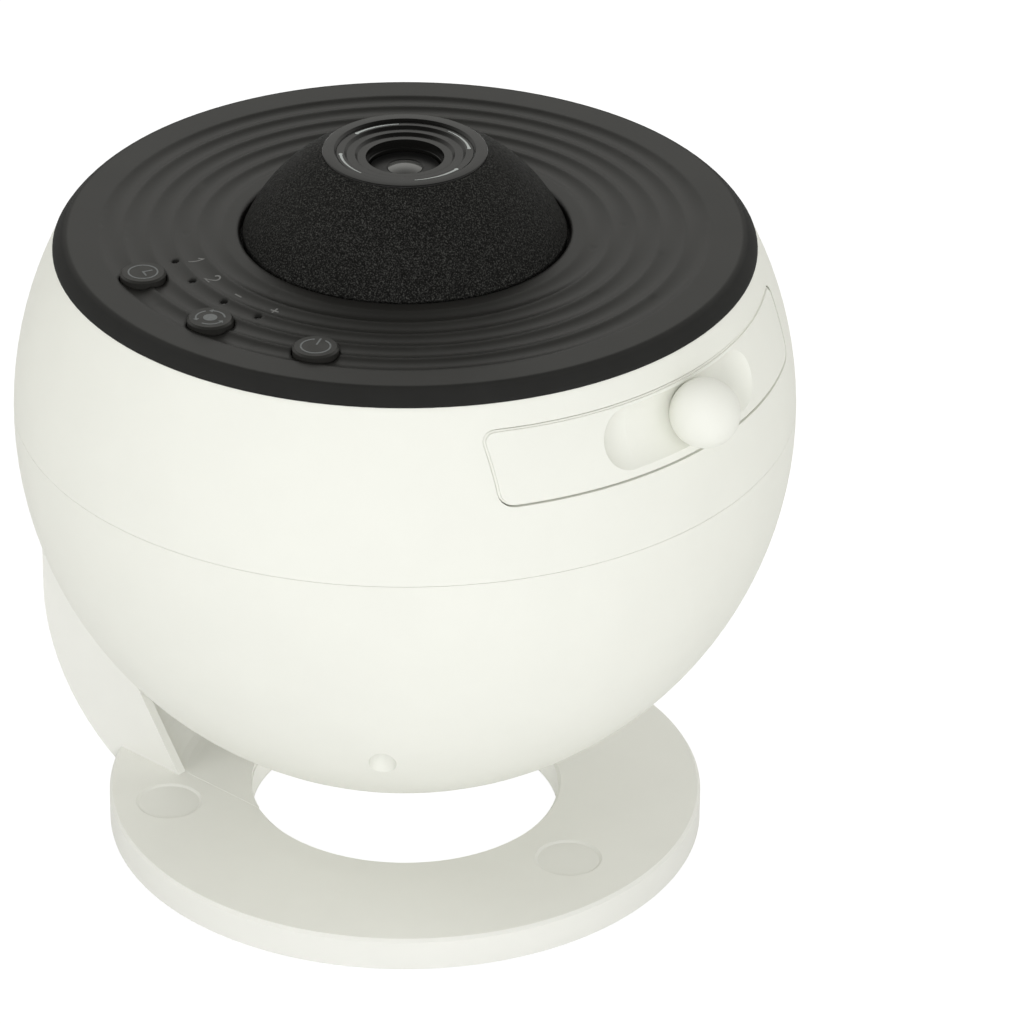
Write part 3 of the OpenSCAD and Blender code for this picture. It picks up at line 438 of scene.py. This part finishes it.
def radial_place(radius, azimuth, height_at):
    """Up in the plane points to the middle of the part. height_at gives the height at a radius."""
    a = math.radians(azimuth)
    outward = Vector((math.cos(a), math.sin(a)))
    right = Vector((-outward.y, outward.x))

    def place(x, y):
        p = outward * (radius - y) + right * x
        return (p.x, p.y, height_at(p.length))

    return place


SHARP_CORNER = math.radians(18)


def revolve(name, section, material, body, turns=144):
    """A closed section of (radius, height) points, turned round the part's own axis."""
    shape = bmesh.new()
    hoops = []
    for radius, height in section:
        if radius == 0:
            hoops.append([shape.verts.new((0.0, 0.0, height * MM))] * turns)
        else:
            spots = hoop(radius * MM, turns)
            hoops.append([shape.verts.new((x, y, height * MM)) for x, y in spots])
    for i, upper in enumerate(hoops):
        lower = hoops[i - 1]
        for k in range(turns):
            corners = [lower[k - 1], lower[k], upper[k], upper[k - 1]]
            corners = [c for j, c in enumerate(corners) if c not in corners[:j]]
            if len(corners) > 2:
                shape.faces.new(corners)
    bmesh.ops.recalc_face_normals(shape, faces=shape.faces)
    piece = add_piece(name, shape, material, body)
    piece.data.shade_smooth()
    piece.data.set_sharp_from_angle(angle=SHARP_CORNER)
    return piece


# ---- printed symbols on the three buttons ----

BUTTON_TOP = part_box("mode_button")[1].z / MM
BUTTON_RADIUS = 56.5
STROKE = 0.34
HALF = STROKE / 2
SYMBOL_R = 2.9

# A clock: its rim, the long hand up and the short one to the right
LONG_HAND, SHORT_HAND = 2.0, 1.8
hands = [(-HALF, -HALF), (SHORT_HAND, -HALF), (SHORT_HAND, HALF), (HALF, HALF)]
hands += [(HALF, LONG_HAND), (-HALF, LONG_HAND)]
clock = Print(hands)
clock.ring(SYMBOL_R, STROKE)

# Three arrows that chase each other round a dot
DOT_R, CHASE_R, HEAD_WIDTH = 1.4, 2.85, 1.3
TIP, NECK, TAIL = 2, 17, 98
chase = Print(hoop(DOT_R, 32))
for turn in (16.6, 139.5, 249.7):
    arc = sweep(CHASE_R + HALF, turn - TAIL, turn - NECK, 14)
    arc.append(turned(CHASE_R + HEAD_WIDTH / 2, turn - NECK))
    arc.append(turned(CHASE_R, turn - TIP))
    arc.append(turned(CHASE_R - HEAD_WIDTH / 2, turn - NECK))
    arc += sweep(CHASE_R - HALF, turn - NECK, turn - TAIL, 14)
    chase.outlines.append(arc)

# An open ring with a bar through its gap
GAP_START, GAP_END, BAR_FOOT, BAR_HEAD = 112, 428, 0.6, 3.3
power = Print(
    sweep(SYMBOL_R + HALF, GAP_START, GAP_END, 48) + sweep(SYMBOL_R - HALF, GAP_END, GAP_START, 48),
    bar(-HALF, HALF, BAR_FOOT, BAR_HEAD),
)

BUTTONS = (("timer", clock, -114.6), ("mode", chase, -90.0), ("power", power, -65.4))
for key, marks, azimuth in BUTTONS:
    on_button = radial_place(BUTTON_RADIUS, azimuth, lambda radius: BUTTON_TOP)
    marks.make(key + "_symbol", on_button, "grey_ink", key + "_key", "black_plate")

# ---- printed labels by the four small lights, which follow the rippled plate ----

PLATE_TOP = 138.4
FIRST_CREST, PITCH, DEPTH, RIPPLES, LAND = 36.8, 5.0, 0.5, 5, 0.1
GROOVE_R = ((PITCH / 2 - LAND) ** 2 + DEPTH**2) / (2 * DEPTH)


def plate_height(radius):
    ripple = math.floor((radius - FIRST_CREST) / PITCH)
    if not 0 <= ripple < RIPPLES:
        return PLATE_TOP
    off = radius - FIRST_CREST - (ripple + 0.5) * PITCH
    return min(PLATE_TOP, PLATE_TOP + GROOVE_R - DEPTH - math.sqrt(GROOVE_R**2 - off**2))


LABEL_RADIUS = 44.1
LABEL_STROKE = 0.36
LABEL_HALF = LABEL_STROKE / 2
SIDE = 0.95
SLICE = 0.12
dash = bar(-SIDE, SIDE, -LABEL_HALF, LABEL_HALF)
cross = [(-SIDE, -LABEL_HALF), (-LABEL_HALF, -LABEL_HALF), (-LABEL_HALF, -SIDE)]
cross += [(-y, x) for x, y in cross]
cross += [(-x, -y) for x, y in cross]
one = stroke([(-0.75, 0.75), (0.15, 1.5), (0.15, -1.6)], LABEL_STROKE)
two = stroke(sweep(0.85, 165, -40, 14, (0.0, 0.65)) + [(-0.8, -1.42), (0.98, -1.42)], LABEL_STROKE)
LABELS = (("1", one, -118.9), ("2", two, -107.4), ("minus", dash, -95.9), ("plus", cross, -83.1))
for key, outline, azimuth in LABELS:
    on_plate = radial_place(LABEL_RADIUS, azimuth, plate_height)
    Print(outline).make("label_" + key, on_plate, "label_ink", "projector", "black_plate", SLICE)

# ---- dome, bezel and lens mount: bodies turned round the lens axis, in millimetres ----

BEZEL_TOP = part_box("lens_bezel")[1].z / MM
RIM_HEIGHT = 0.4
DOME_TOP = BEZEL_TOP - RIM_HEIGHT
BEZEL_UNDER, SLEEVE_UNDER = 150.6, 134.0
BEZEL_R, SLEEVE_R, BARREL_R = 16.65, 13.75, 12.55
RIM_EDGE, STEP_EDGE, THROAT_EDGE = 0.3, 0.04, 0.1
HOLE_R, HOLE_DEPTH, THROAT_R = 7.9, 3.2, 7.35
# Where each step's slope starts and ends, and how far below the rim its ledge lies
STEPS_IN = ((14.3, 13.7, 0.55), (12.25, 11.7, 1.05), (10.1, 9.55, 1.55))

slopes = []
ledge = BEZEL_TOP
for edge_r, foot_r, depth in STEPS_IN:
    slopes.append((edge_r + 2 * STEP_EDGE, ledge))
    slopes.append((edge_r - STEP_EDGE, ledge - STEP_EDGE))
    ledge = BEZEL_TOP - depth
    slopes.append((foot_r, ledge))
hole_floor = BEZEL_TOP - HOLE_DEPTH
bezel_section = [
    (BARREL_R, SLEEVE_UNDER),
    (SLEEVE_R, SLEEVE_UNDER),
    (SLEEVE_R, DOME_TOP),
    (BEZEL_R, DOME_TOP),
    *rounded(BEZEL_R, BEZEL_TOP, RIM_EDGE),
    *slopes,
    (HOLE_R, ledge),
    (HOLE_R, hole_floor),
    (THROAT_R + THROAT_EDGE, hole_floor),
    (THROAT_R, hole_floor - THROAT_EDGE),
    (THROAT_R, BEZEL_UNDER),
    (BARREL_R, BEZEL_UNDER),
]
bezel = revolve("stepped_bezel", bezel_section, "bezel_black", "focus")
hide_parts("lens_bezel")

FLANGE_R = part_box("focus_dome")[1].x / MM
DOME_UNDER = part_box("focus_dome")[0].z / MM
FLANGE_TOP, DOME_FOOT, CAVITY_FOOT = 135.8, 138.2, 136.5
DOME_R, CAVITY_R, DOME_BULGE, FLANK_STEPS = 32.7, 30.0, 2.0, 24
BEZEL_GAP, SLEEVE_GAP = 0.1, 0.03
COLLAR_R, COLLAR_UNDER, CAVITY_TOP = 15.5, 146.0, (16.0, 150.0)
WALL_IN, WALL_DOWN = 2.6, 1.4

flank = bowed((DOME_R, DOME_FOOT), (BEZEL_R + BEZEL_GAP, DOME_TOP), DOME_BULGE, FLANK_STEPS)
# The wall's inner side follows every other point of the flank, from near its top down
cavity = [(radius - WALL_IN, height - WALL_DOWN) for radius, height in flank[17:0:-2]]
dome_section = [
    (CAVITY_R, DOME_UNDER),
    (FLANGE_R, DOME_UNDER),
    (FLANGE_R, FLANGE_TOP),
    (DOME_R, FLANGE_TOP),
    *flank,
    (SLEEVE_R + SLEEVE_GAP, DOME_TOP),
    (SLEEVE_R + SLEEVE_GAP, COLLAR_UNDER),
    (COLLAR_R, COLLAR_UNDER),
    CAVITY_TOP,
    *cavity,
    (CAVITY_R, CAVITY_FOOT),
]
dome = revolve("grained_dome", dome_section, "black_grain", "focus")
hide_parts("focus_dome")

# The lens mount stands on the front retaining ring and carries the small front glass
MOUNT_R, MOUNT_TOP, MOUNT_EDGE = 7.15, 151.9, 0.25
MOUNT_FOOT_R, MOUNT_FOOT_TOP, MOUNT_UNDER = 8.5, 148.3, 147.0
MOUNT_BORE_R, MOUNT_BORE_TOP = 7.3, 147.6
POCKET_R, POCKET_UNDER, POCKET_TOP, SEAT_UNDER = 6.5, 148.4, 150.1, 150.4
GLASS_R, GLASS_UNDER, GLASS_RISE, GLASS_BULGE = 3.45, 150.9, 0.5, 0.15
LIP, LIP_DEPTH, GLASS_GAP, GLASS_SUNK = 0.35, 0.15, 0.05, 0.1

mount_section = [
    (MOUNT_BORE_R, MOUNT_UNDER),
    (MOUNT_FOOT_R, MOUNT_UNDER),
    (MOUNT_FOOT_R, MOUNT_FOOT_TOP),
    (MOUNT_R, MOUNT_FOOT_TOP),
    *rounded(MOUNT_R, MOUNT_TOP, MOUNT_EDGE),
    (GLASS_R + LIP, MOUNT_TOP),
    (GLASS_R + GLASS_GAP, MOUNT_TOP - LIP_DEPTH),
    (GLASS_R + GLASS_GAP, SEAT_UNDER),
    (POCKET_R, POCKET_TOP),
    (POCKET_R, POCKET_UNDER),
    (MOUNT_BORE_R, MOUNT_BORE_TOP),
]
revolve("lens_mount", mount_section, "mount_black", "lens")

crown = bowed((GLASS_R, MOUNT_TOP - GLASS_SUNK), (0, MOUNT_TOP + GLASS_RISE), GLASS_BULGE, 12)
glass_section = [(0, GLASS_UNDER), (GLASS_R, GLASS_UNDER), *crown]
revolve("front_glass", glass_section, "front_glass", "lens", turns=72)

# ---- stand: seats of the foot pads, a little darker as painted shade of their recesses, and the beads beside the cover's foot ----

RING_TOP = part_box("base_ring")[1].z / MM
SEAT_R, SEAT_SLOPE, SEAT_TOP, SEAT_FLOOR, SEAT_BELOW = 6.98, 0.6, -0.02, -0.32, -0.4
seat_section = [
    (0, SEAT_BELOW),
    (SEAT_R, SEAT_BELOW),
    (SEAT_R, SEAT_TOP),
    (SEAT_R - SEAT_SLOPE, SEAT_FLOOR),
    (0, SEAT_FLOOR),
]
for i, (x, y) in enumerate(((46.0, 0.0), (-30.8, -39.9), (-30.8, 39.9))):
    seat = revolve(f"pad_seat_{i + 1}", seat_section, "pad_seat", "stand", turns=96)
    seat.data.transform(Matrix.Translation((x * MM, y * MM, RING_TOP * MM)))

BEAD_Y, BEAD_X0, BEAD_X1, BEAD_R, BEAD_SUNK, BEAD_ROOT = 29.05, -36.7, -15.2, 0.26, 0.19, 0.3
bead_section = sweep(BEAD_R, 0, 180, 8) + [(-BEAD_R, -BEAD_ROOT), (BEAD_R, -BEAD_ROOT)]


def bead(name, y):
    """A half-round rib along X that stands on the ring."""
    shape = bmesh.new()
    ends = []
    for x in (BEAD_X0, BEAD_X1):
        spots = [(x, y + across, RING_TOP - BEAD_SUNK + up) for across, up in bead_section]
        ends.append([shape.verts.new(Vector(spot) * MM) for spot in spots])
        shape.faces.new(ends[-1])
    for k in range(len(bead_section)):
        shape.faces.new((ends[0][k - 1], ends[0][k], ends[1][k], ends[1][k - 1]))
    bmesh.ops.recalc_face_normals(shape, faces=shape.faces)
    add_piece(name, shape, "white_stand", "stand")


bead("foot_bead_front", -BEAD_Y)
bead("foot_bead_back", BEAD_Y)

# ---- four curved arrows on the bezel's first ledge show that the dome turns ----

ARROW_RADIUS, ARROW_NOSE, ARROW_STEPS = 12.95, 0.4, 24
# Half the width at the tail, and how much it grows towards the head
TAIL_HALF, GROWTH = 0.08, 0.19


def arrow(tail, head):
    """A line bent round the lens axis from one angle to another, with a round head."""
    shares = [i / ARROW_STEPS for i in range(ARROW_STEPS + 1)]
    path = [(tail + (head - tail) * t, TAIL_HALF + GROWTH * t) for t in shares]
    outer = [turned(ARROW_RADIUS + half, angle) for angle, half in path]
    inner = [turned(ARROW_RADIUS - half, angle) for angle, half in path]
    facing = head + (90 if head > tail else -90)
    tip = turned(ARROW_RADIUS, head)
    nose = [turned(ARROW_NOSE, facing + turn, tip) for turn in range(-120, 121, 20)]
    if head < tail:
        nose.reverse()
    return outer[:-1] + nose + inner[-2::-1]


def on_ledge(x, y):
    return (x, y, BEZEL_TOP - STEPS_IN[0][2])


arrows = Print(arrow(138, 181), arrow(90, 50), arrow(-90, -133), arrow(-39, 5))
arrows.make("turn_arrows", on_ledge, "light_grey_ink", "focus", "black_smooth")


# ---- stage ----

# The paper glows a little, so that it stays white under the soft light: in the picture,
# and less in reflections
SEEN_GLOW, MIRRORED_GLOW, GLOW_STRENGTH = 0.86, 0.12, 1.12
FLOOR_HALF, FLOOR_LEVEL = 6.0, -0.0002


def paper():
    n = Surface("paper")
    n.tint(n.noise(200.0), (0.9, 0.9, 0.9), (0.91, 0.91, 0.91))
    n.set(Roughness=0.9, Specular_IOR_Level=0.1)
    rays = n.add("ShaderNodeLightPath").outputs
    share = n.maths("MULTIPLY", rays["Is Glossy Ray"], MIRRORED_GLOW)
    share = n.maths("MULTIPLY_ADD", rays["Is Transmission Ray"], MIRRORED_GLOW, share)
    share = n.maths("MULTIPLY_ADD", rays["Is Camera Ray"], SEEN_GLOW, share)
    glow = n.add("ShaderNodeEmission", Color=(1, 1, 1, 1), Strength=GLOW_STRENGTH)
    mix = n.add("ShaderNodeMixShader")
    for socket, value in zip(mix.inputs, (share, n.shader.outputs[0], glow.outputs[0])):
        n.feed(socket, value)
    n.feed(n.tree.nodes["Material Output"].inputs["Surface"], mix.outputs[0])
    return n.material


floor_mesh = bpy.data.meshes.new("floor")
corners = bar(-FLOOR_HALF, FLOOR_HALF, -FLOOR_HALF, FLOOR_HALF)
floor_mesh.from_pydata([(x, y, FLOOR_LEVEL) for x, y in corners], [], [(0, 1, 2, 3)])
floor_mesh.materials.append(paper())
add_object("floor", floor_mesh)

# ---- light ----

# White tent round the object: what the camera sees, and what lights the object
SEEN_SKY, LIGHT_SKY = 1.0, 0.56
SKY_COLOUR = (1.0, 0.995, 0.95, 1.0)
# In gloss the tent is brightest low down behind the object, and dark overhead
MIRRORED_SKY = 0.8
MIRRORED_LOW, MIRRORED_TOP, MIRRORED_FRONT = 0.15, 0.06, 0.5
# How far up a mirrored direction points where the tent brightens and where it darkens, and how
# far away from the camera it points where the tent brightens
BRIGHTENS, DARKENS, BEHIND = (-0.05, 0.4), (0.5, 0.92), (-0.6, 0.6)

world = bpy.data.worlds.new("studio")
bpy.context.scene.world = world
world.use_nodes = True
sky = Graph(world.node_tree)
rays = sky.add("ShaderNodeLightPath").outputs
direction = sky.add("ShaderNodeTexCoord").outputs["Generated"]
upward = sky.add("ShaderNodeSeparateXYZ", Vector=direction).outputs["Z"]
behind = sky.add("ShaderNodeVectorMath", operation="DOT_PRODUCT", Vector=direction)
behind.inputs[1].default_value = Vector((-CAMERA_PLACE.x, -CAMERA_PLACE.y, 0.0)).normalized()

low_part = sky.remap(upward, MIRRORED_SKY * MIRRORED_LOW, MIRRORED_SKY, *BRIGHTENS, "SMOOTHSTEP")
top_part = sky.remap(upward, 1.0, MIRRORED_TOP, *DARKENS, "SMOOTHSTEP")
front_part = sky.remap(behind.outputs["Value"], MIRRORED_FRONT, 1.0, *BEHIND, "SMOOTHSTEP")
mirrored = sky.maths("MULTIPLY", sky.maths("MULTIPLY", low_part, top_part), front_part)
unseen = sky.remap(rays["Is Glossy Ray"], LIGHT_SKY, mirrored, 0.0, 1.0)
level = sky.remap(rays["Is Camera Ray"], unseen, SEEN_SKY, 0.0, 1.0)
background = sky.tree.nodes["Background"]
background.inputs["Color"].default_value = SKY_COLOUR
sky.feed(background.inputs["Strength"], level)

CAMERA_AZIMUTH = math.degrees(math.atan2(CAMERA_PLACE.y, CAMERA_PLACE.x))
MIDDLE = Vector((0.0, 0.0, 0.09))
FRONT_COLOUR = (0.99, 1.0, 1.04)


def soft_light(name, bearing, elevation, power, distance=2.0, size=0.9):
    """A round soft box. Its bearing is counted from the camera's, anticlockwise seen from above."""
    light = add_object(name, bpy.data.lights.new(name, "AREA"))
    light.data.shape = "DISK"
    light.data.size = size
    light.data.energy = power
    turn, lift = math.radians(CAMERA_AZIMUTH + bearing), math.radians(elevation)
    level_part = math.cos(lift)
    way = Vector((level_part * math.cos(turn), level_part * math.sin(turn), math.sin(lift)))
    light.location = MIDDLE + way * distance
    light.rotation_euler = (-way).to_track_quat("-Z", "Y").to_euler()
    light.visible_glossy = False
    return light


soft_light("front", 0, 14.5, 13.9).data.color = FRONT_COLOUR
soft_light("front_right", 45, 12, 3.0)
soft_light("left", -90, 40, 6.0)
soft_light("back_right", 135, 12, 5.6)
soft_light("back", 180, 12, 5.2)
soft_light("top", 0, 89, 1.8)
# Light that the paper inside the ring sends back up
paper_light = soft_light("ring_hole", 0, -90, 0.004, distance=0.089, size=0.066)
paper_light.visible_camera = False
